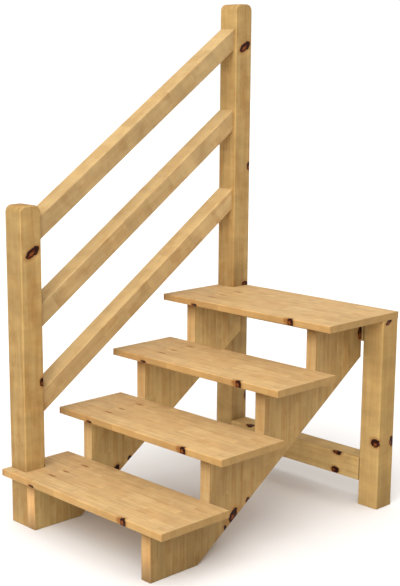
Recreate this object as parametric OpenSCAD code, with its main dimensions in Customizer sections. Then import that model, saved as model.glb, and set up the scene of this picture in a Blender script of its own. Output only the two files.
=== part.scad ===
// Free-standing wooden deck stairs.
// Four open treads lie on two cut stringers. A newel at the front left corner, a newel
// at the back left corner and a short leg at the back right corner carry the flight,
// and three sloped rails join the two newels as a balustrade on the left side.
// Millimetres. The origin is on the floor at the middle of the footprint,
// +X points right, +Y points up the flight towards the deck and +Z points up.

/* [Flight] */
// Width of the treads, from their left end to their right end
tread_w = 850; // [600:5:1200]
// Height from one tread to the next
rise = 182; // [150:1:195]
// Depth from one riser line to the next
going = 268; // [230:1:320]

/* [Treads] */
// Thickness of a tread panel
tread_t = 26; // [18:1:40]
// How far a tread reaches out in front of its riser line
nosing = 40; // [15:1:60]
// Rounding of a tread's long edges
tread_r = 4; // [1:1:8]

/* [Posts] */
// Side of the square posts, legs and cross rails
post = 90; // [70:1:100]
// Rounding of the long edges of the posts and cross rails
post_r = 6; // [2:1:12]
// Rounding of the front and back of a newel's crown
crown_r = 26; // [8:1:32]
// Height of the lower newel above the floor
lower_newel_h = 1169; // [900:1:1400]
// Height of the upper newel above the floor
upper_newel_h = 1886; // [1700:1:2200]

/* [Stringers] */
// Thickness of a stringer board
stringer_t = 45; // [35:1:60]
// Length of a stringer's foot along the floor
foot_l = 213; // [150:1:225]
// Gap between a stringer and the post beside it
side_gap = 4; // [0:1:10]
// Gap between a stringer's back end and the line of the back posts' front faces
end_gap = 5; // [0:1:20]

/* [Rails] */
// Thickness of a sloped rail, across the flight
rail_w = 76; // [45:1:85]
// Depth of a sloped rail, square to its length
rail_h = 70; // [45:1:90]
// Rounding of a sloped rail's long edges
rail_r = 5; // [1:1:10]
// Upright distance from one sloped rail to the next
rail_step = 316; // [200:1:330]
// Height of the bottom rail's centre line where it meets the lower newel
rail_low = 448; // [390:1:470]

/* [Cross rails] */
// Height of the lower cross rail's underside above the floor
cross_low = 93; // [40:1:200]

/* [Hidden] */

// Number of treads: each has its own node
steps = 4;
// Curves are drawn as true rounds
$fn = 64;
// Run of the whole flight between the first riser line and the back posts
run = steps * going;
// Footprint from the first nosing to the back of the posts
depth = nosing + run + post;
// First riser line, which is also the front face of the lower newel
y_riser = nosing - depth / 2;
// Front face of the back posts
y_back = y_riser + run;
// Left and right ends of the treads
x_left = -tread_w / 2;
x_right = tread_w / 2;
// Slope of the flight
pitch = atan2(rise, going);
slope = rise / going;
// A cutting block is this much larger than what it cuts
over = 10;
// Length of the sloped rails before their ends are cut upright
rail_raw = (run + 4 * rail_h) / cos(pitch);

pine_top = [0.84, 0.68, 0.46];
pine_post = [0.78, 0.62, 0.39];
pine_rail = [0.80, 0.64, 0.42];
pine_frame = [0.74, 0.58, 0.36];

// A rectangle with all four corners rounded, centred on the origin
module eased_rect(w, h, r) {
    square([w, h - 2 * r], center = true);
    square([w - 2 * r, h], center = true);
    for (sx = [-1, 1])
        for (sy = [-1, 1])
            translate([sx * (w / 2 - r), sy * (h / 2 - r)])
                circle(r = r);
}

// Upright post with rounded arrises, its left front corner at (x, y)
module post_shaft(x, y, h) {
    translate([x + post / 2, y + post / 2, 0])
        linear_extrude(height = h)
            eased_rect(post, post, post_r);
}

// Side view of a crown: a post's width, square at the foot, round at the top corners
module crown_profile(h) {
    square([post, h - crown_r]);
    translate([crown_r, 0])
        square([post - 2 * crown_r, h]);
    for (y = [crown_r, post - crown_r])
        translate([y, h - crown_r])
            circle(r = crown_r);
}

// Newel post: a shaft whose top is rounded over at the front and the back
module newel(x, y, h) {
    intersection() {
        post_shaft(x, y, h);
        translate([x - over, y, 0])
            rotate([90, 0, 90])
                linear_extrude(height = post + 2 * over)
                    crown_profile(h);
    }
}

// Side view of a stringer: a saw-tooth top edge, a level foot and a sloped underside
module stringer_profile() {
    teeth = [for (i = [0 : steps - 1])
        each [[i * going, i * rise], [i * going, (i + 1) * rise]]];
    end_y = run - end_gap;
    end_z = (end_y - foot_l) * slope;
    polygon(concat(teeth, [[end_y, steps * rise], [end_y, end_z], [foot_l, 0]]));
}

// Stringer board with its left face at x
module stringer(x) {
    translate([x, y_riser, 0])
        rotate([90, 0, 90])
            linear_extrude(height = stringer_t)
                stringer_profile();
}

// Tread panel number k, d deep, with rounded long edges
module tread_panel(k, d) {
    y0 = y_riser + (k - 1) * going - nosing;
    translate([x_left, y0 + d / 2, k * rise + tread_t / 2])
        rotate([90, 0, 90])
            linear_extrude(height = tread_w)
                eased_rect(d, tread_t, tread_r);
}

// Square block d deep that notches the left end of tread k around a post whose front is at y
module post_notch(y, d, k) {
    translate([x_left - over, y, k * rise - over])
        cube([post + over, d, tread_t + 2 * over]);
}

// Sloped rail between the newels, its centre line z above the floor at the lower newel
module sloped_rail(z) {
    span = run - post;
    intersection() {
        translate([x_left + rail_w / 2, y_riser + post, z])
            rotate([pitch, 0, 0])
                translate([0, rail_raw - 2 * rail_h, 0])
                    rotate([90, 0, 0])
                        linear_extrude(height = rail_raw)
                            eased_rect(rail_w, rail_h, rail_r);
        translate([x_left - over, y_riser + post, 0])
            cube([rail_w + 2 * over, span, upper_newel_h]);
    }
}

// Cross rail of post timber between the two back posts, its underside at height z
module cross_rail(z) {
    translate([x_left + post, y_back + post / 2, z + post / 2])
        rotate([90, 0, 90])
            linear_extrude(height = tread_w - 2 * post)
                eased_rect(post, post, post_r);
}

// The stringer beside the newels
module left_stringer() {
    color(pine_frame) stringer(x_left + post + side_gap);
}

// The stringer on the open side
module right_stringer() {
    color(pine_frame) stringer(x_right - post - side_gap - stringer_t);
}

// Bottom tread, notched around the lower newel so that its nosing runs on in front
module tread_1() {
    color(pine_top)
        difference() {
            tread_panel(1, nosing + going);
            post_notch(y_riser, post, 1);
        }
}

// Second tread
module tread_2() {
    color(pine_top) tread_panel(2, nosing + going);
}

// Third tread
module tread_3() {
    color(pine_top) tread_panel(3, nosing + going);
}

// Top tread, deeper than the rest and notched around the upper newel
module tread_4() {
    color(pine_top)
        difference() {
            tread_panel(steps, nosing + going + post);
            post_notch(y_back, post + over, steps);
        }
}

// Newel at the front left corner
module lower_newel() {
    color(pine_post) newel(x_left, y_riser, lower_newel_h);
}

// Newel at the back left corner
module upper_newel() {
    color(pine_post) newel(x_left, y_back, upper_newel_h);
}

// Short leg under the back right corner of the top tread
module right_back_leg() {
    color(pine_post) post_shaft(x_right - post, y_back, steps * rise);
}

// Handrail
module top_rail() {
    color(pine_rail) sloped_rail(rail_low + 2 * rail_step);
}

// Middle rail of the balustrade
module middle_rail() {
    color(pine_rail) sloped_rail(rail_low + rail_step);
}

// Bottom rail of the balustrade
module bottom_rail() {
    color(pine_rail) sloped_rail(rail_low);
}

// Cross rail right under the top tread
module upper_cross_rail() {
    color(pine_frame) cross_rail(steps * rise - post);
}

// Cross rail near the floor
module lower_cross_rail() {
    color(pine_frame) cross_rail(cross_low);
}

left_stringer();
right_stringer();
tread_1();
tread_2();
tread_3();
tread_4();
lower_newel();
upper_newel();
right_back_leg();
top_rail();
middle_rail();
bottom_rail();
upper_cross_rail();
lower_cross_rail();
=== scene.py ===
"""Pine deck stairs: four glued treads on two cut stringers, two newels, a short back leg,
three sloped rails and two cross rails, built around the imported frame. Metres throughout.
"""
import math
from typing import NamedTuple

import bmesh
import bpy
from bpy.props import FloatProperty, FloatVectorProperty, IntProperty, PointerProperty
from mathutils import Matrix, Vector


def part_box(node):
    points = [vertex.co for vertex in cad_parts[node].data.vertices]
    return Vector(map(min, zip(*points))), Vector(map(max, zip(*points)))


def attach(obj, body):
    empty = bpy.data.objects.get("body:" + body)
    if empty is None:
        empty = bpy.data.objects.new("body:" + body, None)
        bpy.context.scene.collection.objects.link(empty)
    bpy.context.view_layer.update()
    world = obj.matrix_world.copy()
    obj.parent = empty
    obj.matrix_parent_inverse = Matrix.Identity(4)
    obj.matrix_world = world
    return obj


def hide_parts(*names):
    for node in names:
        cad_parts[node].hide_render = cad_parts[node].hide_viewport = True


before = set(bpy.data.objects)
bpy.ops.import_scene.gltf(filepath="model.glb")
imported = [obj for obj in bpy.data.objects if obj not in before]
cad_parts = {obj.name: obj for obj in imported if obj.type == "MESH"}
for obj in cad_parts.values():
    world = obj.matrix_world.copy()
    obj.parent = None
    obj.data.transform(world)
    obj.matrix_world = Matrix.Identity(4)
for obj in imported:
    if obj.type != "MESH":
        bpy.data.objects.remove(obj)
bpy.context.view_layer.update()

bl_info = {
    "name": "Pine Deck Stairs",
    "version": (1, 0, 0),
    "blender": (4, 5, 0),
    "location": "View3D > Sidebar > Stairs",
    "description": "Builds open pine stairs with a sloped balustrade around a CAD frame",
    "category": "Object",
}

MM = 0.001
BODY = "root"
# Two places closer than this are the same
SAME_PLACE = 0.1 * MM
# An edge whose faces turn by less than this is drawn smooth
SMOOTH_TURN = math.radians(25)
# An edge with this share of its length along an axis runs along it
STRAIGHT = 0.999


def linear(code):
    """An sRGB hex colour as linear red, green and blue."""
    parts = [int(code[i : i + 2], 16) / 255 for i in (1, 3, 5)]
    return tuple(
        c / 12.92 if c <= 0.04045 else ((c + 0.055) / 1.055) ** 2.4 for c in parts
    )


# ---------------------------------------------------------------- sizes and colours


def size(name, text, default_mm, low_mm, high_mm):
    """A length that the user can change, given in millimetres."""
    return FloatProperty(
        name=name,
        description=text,
        default=default_mm * MM,
        min=low_mm * MM,
        max=high_mm * MM,
        unit="LENGTH",
        subtype="DISTANCE",
        precision=4,
    )


def tint(name, text, code):
    """A colour that the user can change, given as an sRGB hex value."""
    return FloatVectorProperty(
        name=name,
        description=text,
        subtype="COLOR",
        size=3,
        min=0.0,
        max=1.0,
        default=linear(code),
    )


def amount(name, text, default, low=0.0, high=1.0):
    """A plain number that the user can change."""
    return FloatProperty(name=name, description=text, default=default, min=low, max=high)


class StairsSizes(bpy.types.PropertyGroup):
    """Sizes that the frame's boxes don't give."""

    post_arris: size("Post arris", "Rounding of a post's long edges", 6, 1, 15)
    crown_radius: size("Crown radius", "Rounding of a newel's top", 26, 5, 40)
    rail_arris: size("Rail arris", "Rounding of a rail's long edges", 5, 1, 15)
    tread_arris: size("Tread arris", "Rounding of a tread's long edges", 4, 1, 10)
    board_arris: size("Board arris", "Easing of a stringer's edges", 1.6, 0.3, 5)
    end_ease: size("End easing", "Easing of sawn ends", 1.2, 0.2, 4)
    notch_play: size("Notch play", "Gap of a tread's notch round a newel", 0.8, 0.1, 3)
    stringer_foot: size("Stringer foot", "Length of a stringer's foot", 213, 50, 240)
    tread_stave: size("Tread stave width", "Width of a tread's glued staves", 38, 15, 120)
    tread_joint: size("Tread stave length", "Length of a tread's staves", 125, 60, 900)
    board_stave: size("Board stave width", "Width of a stringer's staves", 33, 15, 120)
    board_joint: size("Board stave length", "Length of a stringer's staves", 700, 60, 900)
    rail_joint: size("Rail joint gap", "Distance between a rail's joints", 140, 60, 900)
    ring_gap: size("Ring gap", "Distance between two growth rings", 9, 1, 20)
    edge_segments: IntProperty(
        name="Edge segments",
        description="Number of flats that make one rounded edge",
        default=5,
        min=2,
        max=12,
    )


class StairsFinish(bpy.types.PropertyGroup):
    """Colours and sheen of the planed pine, with tints that paint light and shade by face and in
    close corners.
    """

    early: tint("Early wood", "Pale wood of the spring growth", "#C7A877")
    late: tint("Late wood", "Darker wood of the summer growth", "#B18958")
    # Painted warm bounce light, laid over the faces that look along the flight
    warm_bounce: tint("Warm wood", "Deeper honey tone of sawn edges", "#CD955A")
    # Tints for a front, a side or an end act only on faces turned that way: painted light and
    # shade, making a face lighter or darker by how it turns to the light
    newel_tone: tint("Newel tone", "Tint over the newels", "#DEDBC7")
    newel_front: tint("Newel front", "Tint over a newel's front and back", "#FFFEFC")
    leg_tone: tint("Leg tone", "Tint over the back leg", "#F2EFDC")
    leg_side: tint("Leg side", "Tint over the back leg's sides", "#DFDAC8")
    rail_tone: tint("Rail tone", "Tint over the sloped rails", "#FFFFF8")
    rail_side: tint("Rail side", "Tint over a rail's sides", "#F0F0F2")
    cross_tone: tint("Cross rail tone", "Tint over the cross rails", "#FBFBEA")
    board_tone: tint("Board tone", "Tint over the stringers", "#F4F9FB")
    inner_side: tint("Inner side", "Tint over the left stringer's sides", "#FDFCEA")
    board_side: tint("Outer side", "Tint over the right stringer's sides", "#DBD3BE")
    tread_front: tint("Tread front", "Tint over a tread's front edge", "#EAF1E9")
    tread_end: tint("Tread end", "Tint over a tread's ends", "#B9C0B8")
    end_grain: tint("End grain", "Tone of cross-cut ends", "#AC834C")
    streak: tint("Streak", "Resin streaks and the pale side of a knot", "#80491D")
    knot_heart: tint("Knot heart", "Middle of a knot", "#7C4416")
    knot_body: tint("Knot body", "Main colour of a knot", "#56210A")
    knot_bark: tint("Knot bark", "Bark ring round a knot", "#260B03")
    knot_halo: tint("Knot halo", "Resin-stained wood round a knot", "#96602C")
    roughness: amount("Roughness", "Roughness of the planed surface", 0.52)
    bump: amount("Bump", "Strength of the grain relief", 0.25)
    # Painted shade: the tone to which the wood greys where other pieces stand close
    shelter: amount("Sheltered tone", "Tone of wood in sheltered corners", 0.55)


class StairsStage(bpy.types.PropertyGroup):
    """Floor, light and camera."""

    floor: tint("Floor", "Colour of the floor", "#E9E7E5")
    key: amount("Key light", "Strength of the soft sun", 2.12, 0.0, 10.0)
    dome: amount("Dome", "Brightness of the sky away from the glows", 0.13, 0.0, 5.0)
    overhead: amount("Overhead glow", "Brightness of the glow overhead", 2.0, 0.0, 5.0)
    front: amount("Front glow", "Brightness of the glow round the key light", 0.84, 0.0, 5.0)
    horizon: amount("Horizon", "Brightness of the sky at the horizon", 1.05, 0.0, 5.0)


# ---------------------------------------------------------------- shapes


def block(name, outline, across, low, high, lift=0.0):
    """A closed block in bmesh: an outline in the plane across one axis, carried from low to
    high along it. lift raises the far end, which makes a sloped block with upright ends."""
    place = {
        "X": lambda a, b, d, up: (d, a, b + up),
        "Y": lambda a, b, d, up: (a, d, b + up),
        "Z": lambda a, b, d, up: (a, b, d + up),
    }[across]
    shape = bmesh.new()
    first = [shape.verts.new(place(a, b, low, 0.0)) for a, b in outline]
    last = [shape.verts.new(place(a, b, high, lift)) for a, b in outline]
    count = len(outline)
    shape.faces.new(first)
    shape.faces.new(last)
    for i in range(count):
        j = (i + 1) % count
        shape.faces.new((first[i], first[j], last[j], last[i]))
    bmesh.ops.recalc_face_normals(shape, faces=shape.faces)
    mesh = bpy.data.meshes.new(name)
    piece = bpy.data.objects.new(name, mesh)
    bpy.context.scene.collection.objects.link(piece)
    return piece, shape


def finish_piece(piece, shape, width_of, node, material):
    """Eases each edge by its own width, gives the piece its wood and sets it on the frame."""
    sizes = bpy.context.scene.stairs_sizes
    weights = shape.edges.layers.float.new("bevel_weight_edge")
    widths = {e: width_of(e.verts[0].co, e.verts[1].co) for e in shape.edges}
    widest = max(widths.values())
    for edge, width in widths.items():
        edge[weights] = width / widest
        edge.smooth = width > 0 or edge.calc_face_angle(0) < SMOOTH_TURN
    for face in shape.faces:
        face.smooth = True
    shape.to_mesh(piece.data)
    shape.free()
    eased = piece.modifiers.new("eased edges", "BEVEL")
    eased.width = widest
    eased.segments = sizes.edge_segments
    eased.limit_method = "WEIGHT"
    eased.use_clamp_overlap = True
    flat = piece.modifiers.new("flat faces", "WEIGHTED_NORMAL")
    flat.keep_sharp = True
    flat.weight = 100  # the largest face beside a corner sets its normal
    piece.data.materials.append(material)
    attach(piece, BODY)
    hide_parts(node)


def along(a, b):
    """The axis that an edge runs along, or nothing for a sloped or curved edge."""
    step = b - a
    for axis, letter in enumerate("XYZ"):
        if abs(step[axis]) > STRAIGHT * step.length:
            return letter
    return ""


def near(value, *marks):
    """Whether a value is at one of the marks."""
    return any(abs(value - m) < SAME_PLACE for m in marks)


def square_outline(a0, b0, a1, b1):
    """A rectangle as an outline."""
    return [(a0, b0), (a1, b0), (a1, b1), (a0, b1)]


# ---------------------------------------------------------------- wood


class Lot(NamedTuple):
    """How strongly one kind of piece shows each part of its wood, and the light and shade
    painted on it.
    """

    ringed: float = 0.30  # late wood in the growth rings
    banding: float = 0.45  # broad streaks of tone
    blotch: float = 0.0  # soft darker patches
    figure: float = 1.0  # ripples across the grain
    fibre: float = 1.0  # fine fibres
    warm_bounce: float = 0.0  # painted warm bounce light on the faces that look along the flight
    wear_and_highlight: float = 0.06  # how much lighter the arrises are: rubbed wear and a painted highlight
    stave_range: float = 0.06  # how far one stave's tone is from the next one's
    glue_tone: float = 0.88  # tone of a glue line
    sheltered: bool = False  # painted shade, greyed where other pieces stand close to its sides


NEWEL_LOT = Lot(ringed=0.14, banding=0.75, blotch=0.35, figure=1.8, wear_and_highlight=0.14)
LEG_LOT = Lot(ringed=0.14, banding=0.5, blotch=0.15, figure=1.6, sheltered=True)
RAIL_LOT = Lot(ringed=0.10, blotch=0.40, figure=1.3, wear_and_highlight=0.0, stave_range=0.02, glue_tone=0.97)
CROSS_LOT = Lot(ringed=0.2, blotch=0.3, figure=1.2, sheltered=True)
BOARD_LOT = Lot(ringed=0.16, banding=0.8, blotch=0.3, fibre=1.3, warm_bounce=0.6, stave_range=0.05,
                glue_tone=0.93, sheltered=True)
TREAD_LOT = Lot(banding=0.65, blotch=0.2, fibre=1.6, warm_bounce=0.6, stave_range=0.04, glue_tone=0.94)

# Repeats per metre of each pattern, along the grain and across it
WANDER = (1.6, 9.0)  # slow bends of the rings, 600 mm long
FIBRES = (5.0, 260.0)  # 4 mm apart, coarser than real fibres so that they show
BANDS = (2.4, 46.0)  # streaks of tone, 22 mm wide
RIPPLES = (17.0, 6.0)  # cross figure, 60 mm apart
BLOTCHES = (9.0, 16.0)  # soft patches, 60 to 110 mm across
# Repeats per metre in all directions
RAGGED = 105.0  # teeth on the outline of a knot, 10 mm apart
BARK_GAPS = 48.0  # thick and thin parts of a bark ring, 20 mm apart

# How far the rings wander, and how far the outline of a knot is pushed about
WANDER_REACH = 34 * MM
RAGGED_REACH = 12 * MM
# How far apart in the log two neighbouring staves can lie, along it and across it
STAVE_JUMP = (1700 * MM, 90 * MM, 90 * MM)
# How far apart in the log two pieces lie whose seeds differ by one
SEED_STEP = 370 * MM
# Width of a glue line, coarser than a real one so that it shows
GLUE_LINE = 1.0 * MM
# Depth of the grain's relief
RELIEF = 0.4 * MM
# Other pieces within this distance cast painted shade on a side
PAINTED_SHADE_REACH = 350 * MM

# Late wood across one ring: pale at first, then a slow rise to a dark line
RING_PROFILE = ((0.0, 0.12), (0.10, 0.0), (0.50, 0.12), (0.86, 0.95), (0.93, 0.85), (1.0, 0.12))
# Where each part of a knot or a stain fades, from full to none, as multiples of its half size
KNOT_EDGE = (0.92, 1.08)
KNOT_HALO = (1.0, 1.7)
RING_BEND = (0.8, 3.2)
STAIN_EDGE = (0.35, 1.15)
# The heart of a knot lies off its middle and takes part of its size
HEART_ASIDE = (-0.28, 0.0, -0.16)
HEART_PART = 0.72
# How many rings a knot pushes aside, and how deep it lies in the grain's relief
RING_SWELL = 1.6
KNOT_SINK = 0.8
# How uneven a bark ring is
BARK_SPREAD = 1.3
# How strongly a stain and a halo cover the wood
STAIN_DEPTH = 0.8
HALO_DEPTH = 0.6

# Parts of a noise's range that are stretched over a whole pattern
NOISE_SPAN = (0.3, 0.7)
FIBRE_SPAN = (0.25, 0.75)
ROUGH_SPAN = (0.2, 0.8)
BLOTCH_EDGE = (0.50, 0.64)
# How far the fibres and the cross figure darken and lighten the wood, at full strength
FIBRE_DEPTH = (0.07, 0.06)
FIGURE_DEPTH = (0.10, 0.07)
# How far the fibres lower and raise the roughness
ROUGH_DEPTH = (0.08, 0.1)
# Squared part of a normal along the grain at which end grain starts and is full, and its depth
END_EDGE = (0.45, 0.95)
END_DEPTH = 0.6
# Product of two squared parts of a normal at which an arris, lightened by wear and a painted
# highlight, starts and is full
ARRIS_EDGE = (0.02, 0.22)
# Openness at which the painted shade is full and gone, and its share on faces that don't look
# sideways
PAINTED_SHADE_SPAN = (0.15, 0.85)
PAINTED_SHADE_ELSEWHERE = 0.15

# Grain frames: their columns are the log's own axes, the first along the grain
GRAIN_X = Matrix(((1, 0, 0), (0, 1, 0), (0, 0, 1)))
GRAIN_Z = Matrix(((0, 1, 0), (0, 0, 1), (1, 0, 0)))


def grain_up_slope(pitch):
    """Grain frame of a rail that climbs towards +Y at the pitch."""
    c, s = math.cos(pitch), math.sin(pitch)
    return Matrix(((0, 1, 0), (c, 0, s), (s, 0, -c)))


def finish_tone(name):
    """One of the colours of the finish, by name."""
    return Vector(getattr(bpy.context.scene.stairs_finish, name))


def add(tree, kind, inputs=None, **settings):
    """Adds a node, makes its settings, and fills or links its sockets."""
    node = tree.nodes.new(kind)
    for key, value in settings.items():
        setattr(node, key, value)
    for key, value in (inputs or {}).items():
        if isinstance(value, bpy.types.NodeSocket):
            tree.links.new(value, node.inputs[key])
        else:
            node.inputs[key].default_value = value
    return node


def graded(tree, factor, stops):
    """Grades a factor through stops. Each stop is a place and a linear colour or a grey."""
    node = add(tree, "ShaderNodeValToRGB", {"Fac": factor})
    node.color_ramp.interpolation = "EASE"
    while len(node.color_ramp.elements) < len(stops):
        node.color_ramp.elements.new(0.5)
    for element, (place, colour) in zip(node.color_ramp.elements, stops):
        element.position = place
        shade = (colour,) * 3 if isinstance(colour, float) else tuple(colour)
        element.color = (*shade[:3], 1.0)
    return node.outputs["Color"]


def grain_pattern(tree, log, repeats, detail, roughness):
    """A soft random pattern, drawn out along the grain by its repeats per metre."""
    lengthwise, crosswise = repeats
    drawn_out = add(tree, "ShaderNodeMapping", {
        "Vector": log, "Scale": (lengthwise, crosswise, crosswise)}, vector_type="POINT")
    return add(tree, "ShaderNodeTexNoise", {
        "Vector": drawn_out.outputs[0], "Scale": 1.0, "Detail": detail, "Roughness": roughness})


def cut_staves(tree, local, staves, seed):
    """Places in the log, the tone of each stave from 0 to 1, and the glue lines. Staves are rows
    across the grain, each row cut into lengths, and each length has its own part of the log."""
    if staves is None:
        log = add(tree, "ShaderNodeVectorMath", {
            0: local, 1: (seed * SEED_STEP, 0.0, 0.0)}, operation="ADD")
        return log.outputs[0], None, None
    row_axis, width, length = staves
    parts = add(tree, "ShaderNodeSeparateXYZ", {"Vector": local})
    row_at = add(tree, "ShaderNodeMath", {
        0: parts.outputs[row_axis], 1: width}, operation="DIVIDE")
    row = add(tree, "ShaderNodeMath", {0: row_at.outputs[0]}, operation="FLOOR")
    row_noise = add(tree, "ShaderNodeTexWhiteNoise", {
        "W": row.outputs[0]}, noise_dimensions="1D")
    length_at = add(tree, "ShaderNodeMath", {
        0: parts.outputs["X"], 1: 1.0 / length, 2: row_noise.outputs["Value"]},
        operation="MULTIPLY_ADD")
    column = add(tree, "ShaderNodeMath", {0: length_at.outputs[0]}, operation="FLOOR")
    stave = add(tree, "ShaderNodeCombineXYZ", {
        "X": column.outputs[0], "Y": row.outputs[0], "Z": seed})
    stave_noise = add(tree, "ShaderNodeTexWhiteNoise", {
        "Vector": stave.outputs[0]}, noise_dimensions="3D")
    jump = add(tree, "ShaderNodeVectorMath", {
        0: stave_noise.outputs["Color"], 1: STAVE_JUMP}, operation="MULTIPLY")
    log = add(tree, "ShaderNodeVectorMath", {
        0: local, 1: jump.outputs[0]}, operation="ADD")
    lines = []
    for where, gap in ((row_at, width), (length_at, length)):
        wrapped = add(tree, "ShaderNodeMath", {
            0: where.outputs[0], 1: 0.5}, operation="PINGPONG")
        lines.append(add(tree, "ShaderNodeMapRange", {
            "Value": wrapped.outputs[0], "From Min": 0.0, "From Max": GLUE_LINE / gap,
            "To Min": 1.0, "To Max": 0.0}).outputs[0])
    glue = add(tree, "ShaderNodeMath", {0: lines[0], 1: lines[1]}, operation="MAXIMUM")
    return log.outputs[0], stave_noise.outputs["Value"], glue.outputs[0]


def push_about(tree, local):
    """Places pushed about at random, which makes the outline of a knot ragged."""
    ragged = add(tree, "ShaderNodeTexNoise", {
        "Vector": local, "Scale": RAGGED, "Detail": 3.0})
    shake = add(tree, "ShaderNodeVectorMath", {
        0: ragged.outputs["Color"], 1: (0.5, 0.5, 0.5)}, operation="SUBTRACT")
    return add(tree, "ShaderNodeVectorMath", {
        0: shake.outputs[0], 1: (RAGGED_REACH,) * 3, 2: local},
        operation="MULTIPLY_ADD").outputs[0]


def nearest_spot(tree, shaken, spots, aside=(0.0, 0.0, 0.0), part=1.0):
    """Distance to the nearest spot, 1 at its edge, or to a part of it that lies aside."""
    nearest = None
    for centre, half, lean in spots:
        centre = [c + a * h for c, a, h in zip(centre, aside, half)]
        half = [h * part for h in half]
        inside = add(tree, "ShaderNodeMapping", {
            "Vector": shaken,
            "Location": Vector(centre) * MM,
            "Rotation": tuple(math.radians(a) for a in lean),
            "Scale": Vector(half) * MM,
        }, vector_type="TEXTURE")
        length = add(tree, "ShaderNodeVectorMath", {
            0: inside.outputs[0]}, operation="LENGTH").outputs["Value"]
        if nearest is None:
            nearest = length
        else:
            nearest = add(tree, "ShaderNodeMath", {
                0: nearest, 1: length}, operation="MINIMUM").outputs[0]
    return nearest


def growth_rings(tree, log, pith, knot):
    """Late wood from 0 to 1, in rings round the pith that wander and bend round the knots."""
    wander = grain_pattern(tree, log, WANDER, 2.0, 0.4)
    reach = Vector((0.0, WANDER_REACH, WANDER_REACH))
    drift = add(tree, "ShaderNodeVectorMath", {
        0: wander.outputs["Color"], 1: reach, 2: log}, operation="MULTIPLY_ADD")
    centred = add(tree, "ShaderNodeVectorMath", {
        0: drift.outputs[0], 1: Vector((0.0, *pith)) * MM + reach / 2}, operation="SUBTRACT")
    across = add(tree, "ShaderNodeVectorMath", {
        0: centred.outputs[0], 1: (0.0, 1.0, 1.0)}, operation="MULTIPLY")
    radius = add(tree, "ShaderNodeVectorMath", {0: across.outputs[0]}, operation="LENGTH")
    rings = add(tree, "ShaderNodeMath", {
        0: radius.outputs["Value"], 1: bpy.context.scene.stairs_sizes.ring_gap},
        operation="DIVIDE")
    if knot is not None:
        swell = add(tree, "ShaderNodeMapRange", {
            "Value": knot, "From Min": RING_BEND[0], "From Max": RING_BEND[1],
            "To Min": RING_SWELL, "To Max": 0.0}, interpolation_type="SMOOTHSTEP")
        rings = add(tree, "ShaderNodeMath", {
            0: rings.outputs[0], 1: swell.outputs[0]}, operation="ADD")
    fraction = add(tree, "ShaderNodeMath", {0: rings.outputs[0]}, operation="FRACT")
    return graded(tree, fraction.outputs[0], RING_PROFILE)


def wood_colour(tree, lot, log, late, square, tone, painted_face_light, end_axis):
    """Early to late wood with streaks of tone, tinted as a whole and on sawn ends, with painted
    light and shade by face and painted warm bounce light on faces that look along the flight.
    """
    finish = bpy.context.scene.stairs_finish
    ring_part = add(tree, "ShaderNodeMath", {0: late, 1: lot.ringed}, operation="MULTIPLY")
    bands = grain_pattern(tree, log, BANDS, 2.0, 0.5)
    band_part = add(tree, "ShaderNodeMapRange", {
        "Value": bands.outputs["Fac"], "From Min": NOISE_SPAN[0], "From Max": NOISE_SPAN[1],
        "To Min": 0.0, "To Max": lot.banding})
    dark = add(tree, "ShaderNodeMath", {
        0: ring_part.outputs[0], 1: band_part.outputs[0]}, operation="ADD")
    if lot.blotch:
        patches = grain_pattern(tree, log, BLOTCHES, 3.0, 0.6)
        patch_part = add(tree, "ShaderNodeMapRange", {
            "Value": patches.outputs["Fac"],
            "From Min": BLOTCH_EDGE[0], "From Max": BLOTCH_EDGE[1],
            "To Min": 0.0, "To Max": lot.blotch}, interpolation_type="SMOOTHSTEP")
        dark = add(tree, "ShaderNodeMath", {
            0: dark.outputs[0], 1: patch_part.outputs[0]}, operation="ADD")
    wood = add(tree, "ShaderNodeMix", {
        "Factor": dark.outputs[0], "A": (*finish.early, 1.0), "B": (*finish.late, 1.0)},
        data_type="RGBA").outputs["Result"]
    # Painted warm bounce light: faces that look along the flight are tinted warmer
    if lot.warm_bounce:
        painted_bounce = add(tree, "ShaderNodeMath", {
            0: square["Y"], 1: lot.warm_bounce}, operation="MULTIPLY")
        wood = add(tree, "ShaderNodeMix", {
            "Factor": painted_bounce.outputs[0], "A": wood, "B": (*finish.warm_bounce, 1.0)},
            data_type="RGBA").outputs["Result"]
    # Painted light and shade: a face turned towards or away from the light gets its own tint
    for axis, colour in painted_face_light:
        tinted = add(tree, "ShaderNodeMix", {
            "Factor": square[axis], "A": (1.0, 1.0, 1.0, 1.0), "B": (*colour, 1.0)},
            data_type="RGBA").outputs["Result"]
        wood = add(tree, "ShaderNodeVectorMath", {
            0: wood, 1: tinted}, operation="MULTIPLY").outputs[0]
    if tone is not None:
        wood = add(tree, "ShaderNodeVectorMath", {
            0: wood, 1: tuple(tone)}, operation="MULTIPLY").outputs[0]
    ends = add(tree, "ShaderNodeMapRange", {
        "Value": square[end_axis], "From Min": END_EDGE[0], "From Max": END_EDGE[1],
        "To Min": 0.0, "To Max": END_DEPTH})
    return add(tree, "ShaderNodeMix", {
        "Factor": ends.outputs[0], "A": wood, "B": (*finish.end_grain, 1.0)},
        data_type="RGBA").outputs["Result"]


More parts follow.
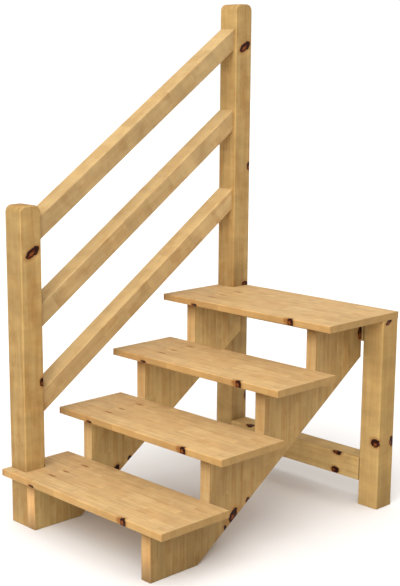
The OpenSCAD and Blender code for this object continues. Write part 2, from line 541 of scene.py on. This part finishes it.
def light_and_dark(tree, lot, log, fibres, stave_tone, glue, square, arris):
    """Brightness of the wood: fibres, cross figure, staves, glue lines, arrises lightened by
    wear and a painted highlight, and painted shade where other pieces stand close.
    """
    ripples = grain_pattern(tree, log, RIPPLES, 3.0, 0.55)
    factors = [
        add(tree, "ShaderNodeMapRange", {
            "Value": fibres, "From Min": FIBRE_SPAN[0], "From Max": FIBRE_SPAN[1],
            "To Min": 1.0 - FIBRE_DEPTH[0] * lot.fibre,
            "To Max": 1.0 + FIBRE_DEPTH[1] * lot.fibre}),
        add(tree, "ShaderNodeMapRange", {
            "Value": ripples.outputs["Fac"],
            "From Min": NOISE_SPAN[0], "From Max": NOISE_SPAN[1],
            "To Min": 1.0 - FIGURE_DEPTH[0] * lot.figure,
            "To Max": 1.0 + FIGURE_DEPTH[1] * lot.figure}),
    ]
    if stave_tone is not None:
        factors.append(add(tree, "ShaderNodeMapRange", {
            "Value": stave_tone, "To Min": 1.0 - lot.stave_range,
            "To Max": 1.0 + lot.stave_range}))
        factors.append(add(tree, "ShaderNodeMapRange", {
            "Value": glue, "To Min": 1.0, "To Max": lot.glue_tone}))
    # Two squared parts of the normal are both large only where a face turns into the next; there
    # the arris is lightened by rubbed wear and a painted highlight
    if arris == "X":
        rest = add(tree, "ShaderNodeMath", {0: 1.0, 1: square["X"]}, operation="SUBTRACT")
        edge = add(tree, "ShaderNodeMath", {
            0: square["X"], 1: rest.outputs[0]}, operation="MULTIPLY")
    else:
        edge = add(tree, "ShaderNodeMath", {
            0: square["Y"], 1: square["Z"]}, operation="MULTIPLY")
    factors.append(add(tree, "ShaderNodeMapRange", {
        "Value": edge.outputs[0], "From Min": ARRIS_EDGE[0], "From Max": ARRIS_EDGE[1],
        "To Min": 1.0, "To Max": 1.0 + lot.wear_and_highlight}))
    # Painted shade: ambient occlusion greys the wood where other pieces stand close, most on
    # faces that look sideways
    if lot.sheltered:
        shelter = add(tree, "ShaderNodeAmbientOcclusion", {"Distance": PAINTED_SHADE_REACH}, samples=8)
        shade_depth = add(tree, "ShaderNodeMapRange", {
            "Value": shelter.outputs["AO"],
            "From Min": PAINTED_SHADE_SPAN[0], "From Max": PAINTED_SHADE_SPAN[1],
            "To Min": bpy.context.scene.stairs_finish.shelter - 1.0, "To Max": 0.0})
        sideways = add(tree, "ShaderNodeMapRange", {
            "Value": square["X"], "To Min": PAINTED_SHADE_ELSEWHERE, "To Max": 1.0})
        factors.append(add(tree, "ShaderNodeMath", {
            0: shade_depth.outputs[0], 1: sideways.outputs[0], 2: 1.0}, operation="MULTIPLY_ADD"))
    shade = factors[0].outputs[0]
    for factor in factors[1:]:
        shade = add(tree, "ShaderNodeMath", {
            0: shade, 1: factor.outputs[0]}, operation="MULTIPLY").outputs[0]
    return shade


def lay_stains(tree, wood, streak):
    """The wood with its resin streaks."""
    stain = add(tree, "ShaderNodeMapRange", {
        "Value": streak, "From Min": STAIN_EDGE[0], "From Max": STAIN_EDGE[1],
        "To Min": STAIN_DEPTH, "To Max": 0.0}, interpolation_type="SMOOTHSTEP")
    return add(tree, "ShaderNodeMix", {
        "Factor": stain.outputs[0], "A": wood,
        "B": (*bpy.context.scene.stairs_finish.streak, 1.0)},
        data_type="RGBA").outputs["Result"]


def lay_knots(tree, wood, height, local, knot, heart):
    """The wood and its relief with the knots: a stained halo, then a red-brown heart in a dark
    bark ring that is thick in one place and broken in the next, sunk into the surface."""
    finish = bpy.context.scene.stairs_finish
    halo = add(tree, "ShaderNodeMapRange", {
        "Value": knot, "From Min": KNOT_HALO[0], "From Max": KNOT_HALO[1],
        "To Min": HALO_DEPTH, "To Max": 0.0}, interpolation_type="SMOOTHSTEP")
    wood = add(tree, "ShaderNodeMix", {
        "Factor": halo.outputs[0], "A": wood, "B": (*finish.knot_halo, 1.0)},
        data_type="RGBA").outputs["Result"]
    patchy = add(tree, "ShaderNodeTexNoise", {
        "Vector": local, "Scale": BARK_GAPS, "Detail": 1.0})
    uneven = add(tree, "ShaderNodeMath", {
        0: patchy.outputs["Fac"], 1: BARK_SPREAD, 2: -BARK_SPREAD / 2},
        operation="MULTIPLY_ADD")
    outwards = add(tree, "ShaderNodeMath", {
        0: heart, 1: uneven.outputs[0]}, operation="ADD")
    core = graded(tree, outwards.outputs[0], (
        (0.0, finish.knot_heart), (0.25, finish.knot_heart), (0.55, finish.knot_body),
        (0.80, finish.knot_bark), (1.0, finish.knot_bark)))
    inside = add(tree, "ShaderNodeMapRange", {
        "Value": knot, "From Min": KNOT_EDGE[0], "From Max": KNOT_EDGE[1],
        "To Min": 1.0, "To Max": 0.0}, interpolation_type="SMOOTHSTEP")
    wood = add(tree, "ShaderNodeMix", {
        "Factor": inside.outputs[0], "A": wood, "B": core},
        data_type="RGBA").outputs["Result"]
    sunk = add(tree, "ShaderNodeMath", {
        0: inside.outputs[0], 1: -KNOT_SINK, 2: height}, operation="MULTIPLY_ADD")
    return wood, sunk.outputs[0]


def planed_pine(name, origin, grain, pith, lot, knots=(), streaks=(), staves=None, seed=0.0,
                arris="X", end_axis="X", tone=None, painted_face_light=()):
    """Planed, untreated pine: nearly matt, with soft growth rings, fine fibres along the grain
    and dark bark-ringed knots. origin and grain place the log's own frame, where x runs along
    the grain, and pith is the log's centre across it. Knots and streaks are ellipsoids in that
    frame: centre and half sizes in millimetres, and lean in degrees."""
    finish = bpy.context.scene.stairs_finish
    material = bpy.data.materials.new(name)
    material.use_nodes = True
    tree = material.node_tree
    tree.nodes.clear()

    place = add(tree, "ShaderNodeTexCoord")
    local = add(tree, "ShaderNodeMapping", {
        "Vector": place.outputs["Object"],
        "Location": origin,
        "Rotation": grain.to_euler(),
    }, vector_type="TEXTURE").outputs["Vector"]
    facing = add(tree, "ShaderNodeSeparateXYZ", {"Vector": place.outputs["Normal"]})
    square = {
        axis: add(tree, "ShaderNodeMath", {
            0: facing.outputs[axis], 1: facing.outputs[axis]}, operation="MULTIPLY").outputs[0]
        for axis in "XYZ"
    }

    log, stave_tone, glue = cut_staves(tree, local, staves, seed)
    shaken = push_about(tree, local)
    knot = nearest_spot(tree, shaken, knots)
    heart = nearest_spot(tree, shaken, knots, HEART_ASIDE, HEART_PART)
    streak = nearest_spot(tree, shaken, streaks)
    late = growth_rings(tree, log, pith, knot)
    fibres = grain_pattern(tree, log, FIBRES, 3.0, 0.6).outputs["Fac"]

    wood = wood_colour(tree, lot, log, late, square, tone, painted_face_light, end_axis)
    shade = light_and_dark(tree, lot, log, fibres, stave_tone, glue, square, arris)
    wood = add(tree, "ShaderNodeVectorMath", {
        0: wood, "Scale": shade}, operation="SCALE").outputs[0]
    height = add(tree, "ShaderNodeMath", {0: late, 1: fibres}, operation="ADD").outputs[0]
    if streak is not None:
        wood = lay_stains(tree, wood, streak)
    if knot is not None:
        wood, height = lay_knots(tree, wood, height, local, knot, heart)

    roughness = add(tree, "ShaderNodeMapRange", {
        "Value": fibres, "From Min": ROUGH_SPAN[0], "From Max": ROUGH_SPAN[1],
        "To Min": finish.roughness - ROUGH_DEPTH[0],
        "To Max": finish.roughness + ROUGH_DEPTH[1]})
    relief = add(tree, "ShaderNodeBump", {
        "Height": height, "Strength": finish.bump, "Distance": RELIEF})
    shader = add(tree, "ShaderNodeBsdfPrincipled", {
        "Base Color": wood, "Roughness": roughness.outputs[0], "Normal": relief.outputs[0],
        "IOR": 1.5, "Specular IOR Level": 0.12})
    add(tree, "ShaderNodeOutputMaterial", {"Surface": shader.outputs[0]})
    return material


# Knots and streaks: centre, half sizes and lean, in the log's own frame
NEWEL_KNOTS = (
    ((-165, 90, 51), (15, 20, 33), (0, 31, 0)),
    ((-640, 91, 84), (17, 12, 13), (0, 0, 0)),
)
LOWER_NEWEL_KNOTS = NEWEL_KNOTS + (((-955, 90, 89), (5, 6, 6), (0, 0, 0)),)
UPPER_NEWEL_KNOTS = NEWEL_KNOTS + (
    ((-1124, 90, 70), (9, 8, 17), (0, 0, 0)),
    ((-1608, 91, 84), (20, 10, 8), (0, 0, 0)),
)
LEG_KNOTS = (
    ((-469, 72, 0), (17, 20, 12), (0, 0, 0)),
    ((-473, 90, 76), (20, 12, 12), (0, 0, 0)),
    ((-8, 90, 33), (8, 10, 18), (0, 20, 0)),
)
CROSS_KNOTS = (
    ((564, 0, 90), (22, 13, 12), (0, 0, 0)),
    ((557, 0, 16), (19, 11, 13), (0, 0, 0)),
    ((100, 10, 90), (20, 14, 8), (0, 0, 0)),
)
STRINGER_KNOTS = (
    ((134, 45, 384), (27, 17, 16), (0, -35, 0)),
    ((97, 45, 345), (11, 9, 7), (0, 0, 0)),
    ((170, 45, 457), (12, 10, 9), (0, -30, 0)),
    ((672, 45, 1058), (24, 16, 14), (0, 0, 0)),
)
TREAD_KNOTS = (
    ((667, 0, 12), (15, 11, 18), (0, 0, 0)),
    ((173, 0, 4), (14, 9, 7), (0, 0, 0)),
)
TREAD_STREAKS = (
    ((0, 2, 13), (11, 17, 18), (0, 0, 0)),
    ((650, 0, 15), (19, 12, 18), (0, 0, 0)),
    ((180, 89, 26), (27, 8, 8), (0, 0, 0)),
    ((181, 152, 26), (23, 8, 8), (0, 0, 0)),
    ((180, 242, 26), (29, 8, 8), (0, 0, 0)),
)
# Painted light: each piece's tone is raised or lowered to even out the light on it. The lower
# rails are lightened against the shadow of the rails above, and the left stringer against the
# shade of the newel and nosings; each stringer's sides get a painted tint of their own. A newel
# has one shade all over and a second, painted light, for its front and back.
LOWER_NEWEL_SHADES = (1.18, 0.80)
UPPER_NEWEL_SHADES = (1.04, 1.06)
RAIL_SHADES = {"top_rail": 0.92, "middle_rail": 0.99, "bottom_rail": 1.05}
BOARD_SHADES = {"left_stringer": 1.38, "right_stringer": 1.13}
BOARD_SIDES = {"left_stringer": "inner_side", "right_stringer": "board_side"}


# ---------------------------------------------------------------- operators

TREADS = ("tread_1", "tread_2", "tread_3", "tread_4")
# Number of flats on each quarter round of a newel's crown
CROWN_FLATS = 10
# Easing of a tread's notch, which is sawn and left sharp
NOTCH_EASE = 0.3 * MM


def spoken(node):
    """A node's name as words."""
    return node.replace("_", " ")


def step_sizes():
    """Rise and going of the flight, from the boxes of its first two treads."""
    first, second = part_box("tread_1")[0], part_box("tread_2")[0]
    return second.z - first.z, second.y - first.y


def newel(node, knots, lot, shades):
    """One newel: a square post whose crown is rounded over at the front and the back."""
    sizes = bpy.context.scene.stairs_sizes
    low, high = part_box(node)
    radius = sizes.crown_radius
    outline = [(low.y, low.z), (high.y, low.z)]
    for centre, start in ((high.y - radius, 0.0), (low.y + radius, math.pi / 2)):
        for i in range(CROWN_FLATS + 1):
            turn = start + math.pi / 2 * i / CROWN_FLATS
            outline.append((centre + radius * math.cos(turn),
                            high.z - radius + radius * math.sin(turn)))
    piece, shape = block(node + "_wood", outline, "X", low.x, high.x)

    def width(a, b):
        """End easing at the foot, an arris up the sides and over the crown."""
        if near(a.z, low.z) and near(b.z, low.z):
            return sizes.end_ease
        if along(a, b) == "X":
            return 0.0
        return sizes.post_arris

    # Painted light: one shade over the whole newel, and a second painted on its front and back
    shade, front_shade = shades
    wood = planed_pine(
        "planed pine, " + spoken(node), (low.x, low.y, high.z), GRAIN_Z, pith=(-38, 120),
        lot=lot, knots=knots, seed=1.0, end_axis="Z",
        tone=finish_tone("newel_tone") * shade,
        painted_face_light=(("Y", finish_tone("newel_front") * front_shade),))
    finish_piece(piece, shape, width, node, wood)


class STAIRS_OT_newels(bpy.types.Operator):
    """Build the two newels"""

    bl_idname = "stairs.newels"
    bl_label = "Newels"

    def execute(self, context):
        newel("lower_newel", LOWER_NEWEL_KNOTS, NEWEL_LOT, LOWER_NEWEL_SHADES)
        # Painted shade greys the upper newel where the treads and rails stand close
        newel("upper_newel", UPPER_NEWEL_KNOTS, NEWEL_LOT._replace(sheltered=True),
              UPPER_NEWEL_SHADES)
        return {"FINISHED"}


class STAIRS_OT_back_leg(bpy.types.Operator):
    """Build the short leg under the back right corner of the top tread"""

    bl_idname = "stairs.back_leg"
    bl_label = "Back leg"

    def execute(self, context):
        sizes = context.scene.stairs_sizes
        low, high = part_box("right_back_leg")
        piece, shape = block(
            "right_back_leg_wood", square_outline(low.x, low.y, high.x, high.y),
            "Z", low.z, high.z)

        def width(a, b):
            """An arris up the corners, end easing at both ends."""
            return sizes.post_arris if along(a, b) == "Z" else sizes.end_ease

        # Painted shade: the leg's sides get a darker tint, and its wood greys where other pieces
        # stand close
        wood = planed_pine(
            "planed pine, back leg", (low.x, low.y, high.z), GRAIN_Z, pith=(-30, 130),
            lot=LEG_LOT, knots=LEG_KNOTS, seed=2.0, end_axis="Z",
            tone=finish_tone("leg_tone"), painted_face_light=(("X", finish_tone("leg_side")),))
        finish_piece(piece, shape, width, "right_back_leg", wood)
        return {"FINISHED"}


class STAIRS_OT_sloped_rails(bpy.types.Operator):
    """Build the three sloped rails of the balustrade"""

    bl_idname = "stairs.sloped_rails"
    bl_label = "Sloped rails"

    def execute(self, context):
        sizes = context.scene.stairs_sizes
        rise, going = step_sizes()
        grain = grain_up_slope(math.atan(rise / going))
        for number, (node, shade) in enumerate(RAIL_SHADES.items()):
            low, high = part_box(node)
            lift = rise / going * (high.y - low.y)
            piece, shape = block(
                node + "_wood", square_outline(low.x, low.z, high.x, high.z - lift),
                "Y", low.y, high.y, lift)

            def width(a, b):
                """An arris along the slope, nothing on the ends, which meet the newels."""
                return 0.0 if near(a.y, b.y) else sizes.rail_arris

            # Painted light: the lower rails are lightened against the shadow of the rails above,
            # and each rail's sides get a painted shade
            wood = planed_pine(
                "planed pine, " + spoken(node), (low.x, low.y, high.z - lift), grain,
                pith=(-25, 95), lot=RAIL_LOT, seed=3.0 + number, end_axis="Y",
                staves=("Z", 2.0 * sizes.tread_stave, sizes.rail_joint),
                tone=finish_tone("rail_tone") * shade,
                painted_face_light=(("X", finish_tone("rail_side")),))
            finish_piece(piece, shape, width, node, wood)
        return {"FINISHED"}


class STAIRS_OT_cross_rails(bpy.types.Operator):
    """Build the two cross rails between the back posts"""

    bl_idname = "stairs.cross_rails"
    bl_label = "Cross rails"

    def execute(self, context):
        sizes = context.scene.stairs_sizes
        for number, node in enumerate(("lower_cross_rail", "upper_cross_rail")):
            low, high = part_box(node)
            piece, shape = block(
                node + "_wood", square_outline(low.y, low.z, high.y, high.z),
                "X", low.x, high.x)

            def width(a, b):
                """An arris along the rail, nothing on the ends, which meet the posts."""
                return sizes.post_arris if along(a, b) == "X" else 0.0

            # Painted shade: the cross rails grey where other pieces stand close
            wood = planed_pine(
                "planed pine, " + spoken(node), low, GRAIN_X, pith=(130, -35), lot=CROSS_LOT,
                knots=CROSS_KNOTS, seed=6.0 + number, arris="YZ",
                tone=finish_tone("cross_tone"))
            finish_piece(piece, shape, width, node, wood)
        return {"FINISHED"}


class STAIRS_OT_stringers(bpy.types.Operator):
    """Build the two cut stringers"""

    bl_idname = "stairs.stringers"
    bl_label = "Stringers"

    def execute(self, context):
        sizes = context.scene.stairs_sizes
        rise, going = step_sizes()
        for node, shade in BOARD_SHADES.items():
            low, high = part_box(node)
            outline = []
            for step in range(len(TREADS)):
                outline.append((low.y + step * going, step * rise))
                outline.append((low.y + step * going, (step + 1) * rise))
            outline.append((high.y, high.z))
            foot = low.y + sizes.stringer_foot
            outline.append((high.y, (high.y - foot) * rise / going))
            outline.append((foot, 0.0))
            piece, shape = block(node + "_wood", outline, "X", low.x, high.x)

            def width(a, b):
                """A small arris round both sides, nothing across the board's thickness."""
                return 0.0 if along(a, b) == "X" else sizes.board_arris

            # Painted light: the left stringer is lightened against the shade of the newel and
            # nosings, each stringer's sides get their own painted tint, and the wood greys as
            # painted shade where the treads stand close
            wood = planed_pine(
                "planed glued pine, " + spoken(node), (low.x, low.y, 0.0), GRAIN_Z,
                pith=(-60, 30), lot=BOARD_LOT, knots=STRINGER_KNOTS, seed=9.0, end_axis="Z",
                staves=("Z", sizes.board_stave, sizes.board_joint),
                tone=finish_tone("board_tone") * shade,
                painted_face_light=(("X", finish_tone(BOARD_SIDES[node])),))
            finish_piece(piece, shape, width, node, wood)
        return {"FINISHED"}


class STAIRS_OT_treads(bpy.types.Operator):
    """Build the four glued treads"""

    bl_idname = "stairs.treads"
    bl_label = "Treads"

    def execute(self, context):
        sizes = context.scene.stairs_sizes
        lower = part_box("lower_newel")
        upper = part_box("upper_newel")
        play = sizes.notch_play
        for node in TREADS:
            low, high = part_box(node)
            outline = square_outline(low.x, low.y, high.x, high.y)
            if node == TREADS[0]:
                side = lower[1].x + play
                outline += [(low.x, lower[1].y + play), (side, lower[1].y + play),
                            (side, lower[0].y - play), (low.x, lower[0].y - play)]
            if node == TREADS[-1]:
                side = upper[1].x + play
                outline = outline[:3] + [(side, high.y), (side, upper[0].y - play),
                                         (low.x, upper[0].y - play)]
            piece, shape = block(node + "_wood", outline, "Z", low.z, high.z)

            def width(a, b):
                """An arris along the front and back, end easing on the ends."""
                way = along(a, b)
                front = near(a.y, low.y, high.y) and near(b.y, a.y)
                end = near(a.x, low.x, high.x) and near(b.x, a.x)
                if way == "X" and front:
                    return sizes.tread_arris
                if end and way == "Y":
                    return sizes.end_ease
                if way == "Z" and end and near(a.y, low.y, high.y):
                    return sizes.end_ease
                return NOTCH_EASE

            # Painted shade: a tread's front and ends are tinted darker than its top, and its
            # front gets painted warm bounce light
            wood = planed_pine(
                "planed glued pine, " + spoken(node), low, GRAIN_X, pith=(20, -70),
                lot=TREAD_LOT, knots=TREAD_KNOTS, streaks=TREAD_STREAKS, seed=12.0,
                arris="YZ", staves=("Y", sizes.tread_stave, sizes.tread_joint),
                painted_face_light=(
                    ("Y", finish_tone("tread_front")), ("X", finish_tone("tread_end"))))
            finish_piece(piece, shape, width, node, wood)
        return {"FINISHED"}


# ---------------------------------------------------------------- stage

# Direction towards the key light, and how wide it looks from the stairs
KEY_WAY = (0.31, -0.72, 0.62)
KEY_SPREAD = math.radians(50)
# The glows overhead and in front: a higher power makes a smaller glow
OVERHEAD_POWER = 3.0
FRONT_POWER = 4.0
# Elevations between which the white horizon fades into the sky
HORIZON_FADE = (math.radians(4), math.radians(12))
FLOOR_RADIUS = 60.0
# The floor lies this far under the feet, so that no two faces coincide
FLOOR_DROP = 0.5 * MM
# Camera: place in metres, turn from +Y towards -X and tilt below level in radians, focal
# length on the long side of the frame in millimetres, and shift as a share of that side
CAMERA_AT = (2.98498, -2.98987, 1.63454)
CAMERA_TURN = 0.8239671
CAMERA_TILT = 0.1985948
SENSOR_SIDE = 36.0
FOCAL_LENGTH = 73.017
LENS_SHIFT = (0.07351, 0.02586)
# Furthest thing that the camera draws, beyond the edge of the floor
CLIP_END = 200.0


def lay_floor(scene, stage):
    """Matt painted board, which the eye reads as a plain pale sweep."""
    shape = bmesh.new()
    bmesh.ops.create_circle(shape, cap_ends=True, segments=96, radius=FLOOR_RADIUS)
    bmesh.ops.translate(shape, verts=shape.verts, vec=(0.0, 0.0, -FLOOR_DROP))
    mesh = bpy.data.meshes.new("floor")
    shape.to_mesh(mesh)
    shape.free()
    floor = bpy.data.objects.new("floor", mesh)
    scene.collection.objects.link(floor)
    paint = bpy.data.materials.new("matt painted board")
    paint.use_nodes = True
    shader = paint.node_tree.nodes["Principled BSDF"]
    shader.inputs["Base Color"].default_value = (*stage.floor, 1.0)
    shader.inputs["Roughness"].default_value = 0.9
    shader.inputs["Specular IOR Level"].default_value = 0.1
    mesh.materials.append(paint)


def hang_sky(scene, stage):
    """A sky that is white at the horizon, with a broad glow overhead and one low in front."""
    world = bpy.data.worlds.new("studio")
    scene.world = world
    world.use_nodes = True
    tree = world.node_tree
    tree.nodes.clear()
    where = add(tree, "ShaderNodeTexCoord").outputs["Generated"]
    total = stage.dome
    for strength, power, aim in (
        (stage.overhead, OVERHEAD_POWER, (0.0, 0.0, 1.0)),
        (stage.front, FRONT_POWER, KEY_WAY),
    ):
        facing = add(tree, "ShaderNodeVectorMath", {
            0: where, 1: Vector(aim).normalized()}, operation="DOT_PRODUCT")
        lit = add(tree, "ShaderNodeMath", {
            0: facing.outputs["Value"], 1: 0.0}, operation="MAXIMUM")
        soft = add(tree, "ShaderNodeMath", {
            0: lit.outputs[0], 1: power}, operation="POWER")
        total = add(tree, "ShaderNodeMath", {
            0: soft.outputs[0], 1: strength, 2: total},
            operation="MULTIPLY_ADD").outputs[0]
    parts = add(tree, "ShaderNodeSeparateXYZ", {"Vector": where})
    height = add(tree, "ShaderNodeMapRange", {
        "Value": parts.outputs["Z"], "From Min": math.sin(HORIZON_FADE[0]),
        "From Max": math.sin(HORIZON_FADE[1]), "To Min": 0.0, "To Max": 1.0},
        interpolation_type="SMOOTHSTEP")
    glow = add(tree, "ShaderNodeMix", {
        "Factor": height.outputs[0], "A": stage.horizon, "B": total}, data_type="FLOAT")
    sky = add(tree, "ShaderNodeBackground", {
        "Color": (1.0, 1.0, 1.0, 1.0), "Strength": glow.outputs["Result"]})
    add(tree, "ShaderNodeOutputWorld", {"Surface": sky.outputs[0]})


def hang_key(scene, stage):
    """The key light: a large soft lamp, high in front and a little to the right."""
    lamp = bpy.data.lights.new("key", "SUN")
    lamp.energy = stage.key
    lamp.angle = KEY_SPREAD
    key = bpy.data.objects.new("key", lamp)
    key.rotation_euler = Vector(KEY_WAY).to_track_quat("Z", "Y").to_euler()
    scene.collection.objects.link(key)


def set_camera(scene):
    """The camera at eye height, in front of the open side."""
    lens = bpy.data.cameras.new("camera")
    lens.sensor_width = SENSOR_SIDE
    lens.lens = FOCAL_LENGTH
    lens.shift_x, lens.shift_y = LENS_SHIFT
    lens.clip_end = CLIP_END
    camera = bpy.data.objects.new("camera", lens)
    camera.location = CAMERA_AT
    camera.rotation_euler = (math.pi / 2 - CAMERA_TILT, 0.0, CAMERA_TURN)
    scene.collection.objects.link(camera)
    scene.camera = camera
    scene.view_settings.view_transform = "Standard"


class STAIRS_OT_stage(bpy.types.Operator):
    """Lay the pale floor and set the soft light and the camera"""

    bl_idname = "stairs.stage"
    bl_label = "Floor, light and camera"

    def execute(self, context):
        scene, stage = context.scene, context.scene.stairs_stage
        lay_floor(scene, stage)
        hang_sky(scene, stage)
        hang_key(scene, stage)
        set_camera(scene)
        return {"FINISHED"}


# ---------------------------------------------------------------- add-on

PIECE_OPERATORS = (
    STAIRS_OT_newels,
    STAIRS_OT_back_leg,
    STAIRS_OT_sloped_rails,
    STAIRS_OT_cross_rails,
    STAIRS_OT_stringers,
    STAIRS_OT_treads,
    STAIRS_OT_stage,
)


class STAIRS_PT_panel(bpy.types.Panel):
    """Sizes, colours and buttons of the deck stairs"""

    bl_idname = "STAIRS_PT_panel"
    bl_label = "Pine Deck Stairs"
    bl_space_type = "VIEW_3D"
    bl_region_type = "UI"
    bl_category = "Stairs"

    def draw(self, context):
        for group in ("stairs_sizes", "stairs_finish", "stairs_stage"):
            settings = getattr(context.scene, group)
            column = self.layout.column(align=True)
            for key in settings.__annotations__:
                column.prop(settings, key)
        for operator in PIECE_OPERATORS:
            self.layout.operator(operator.bl_idname)


GROUPS = {
    "stairs_sizes": StairsSizes,
    "stairs_finish": StairsFinish,
    "stairs_stage": StairsStage,
}
CLASSES = (*GROUPS.values(), *PIECE_OPERATORS, STAIRS_PT_panel)


def register():
    """Registers the classes and hangs the settings on the scene."""
    for item in CLASSES:
        bpy.utils.register_class(item)
    for name, group in GROUPS.items():
        setattr(bpy.types.Scene, name, PointerProperty(type=group))


def unregister():
    """Takes the settings and the classes away again."""
    for name in GROUPS:
        delattr(bpy.types.Scene, name)
    for item in reversed(CLASSES):
        bpy.utils.unregister_class(item)


def main():
    """Builds every piece and the stage."""
    register()
    for operator in PIECE_OPERATORS:
        group, action = operator.bl_idname.split(".")
        getattr(getattr(bpy.ops, group), action)()


if __name__ == "__main__":
    main()
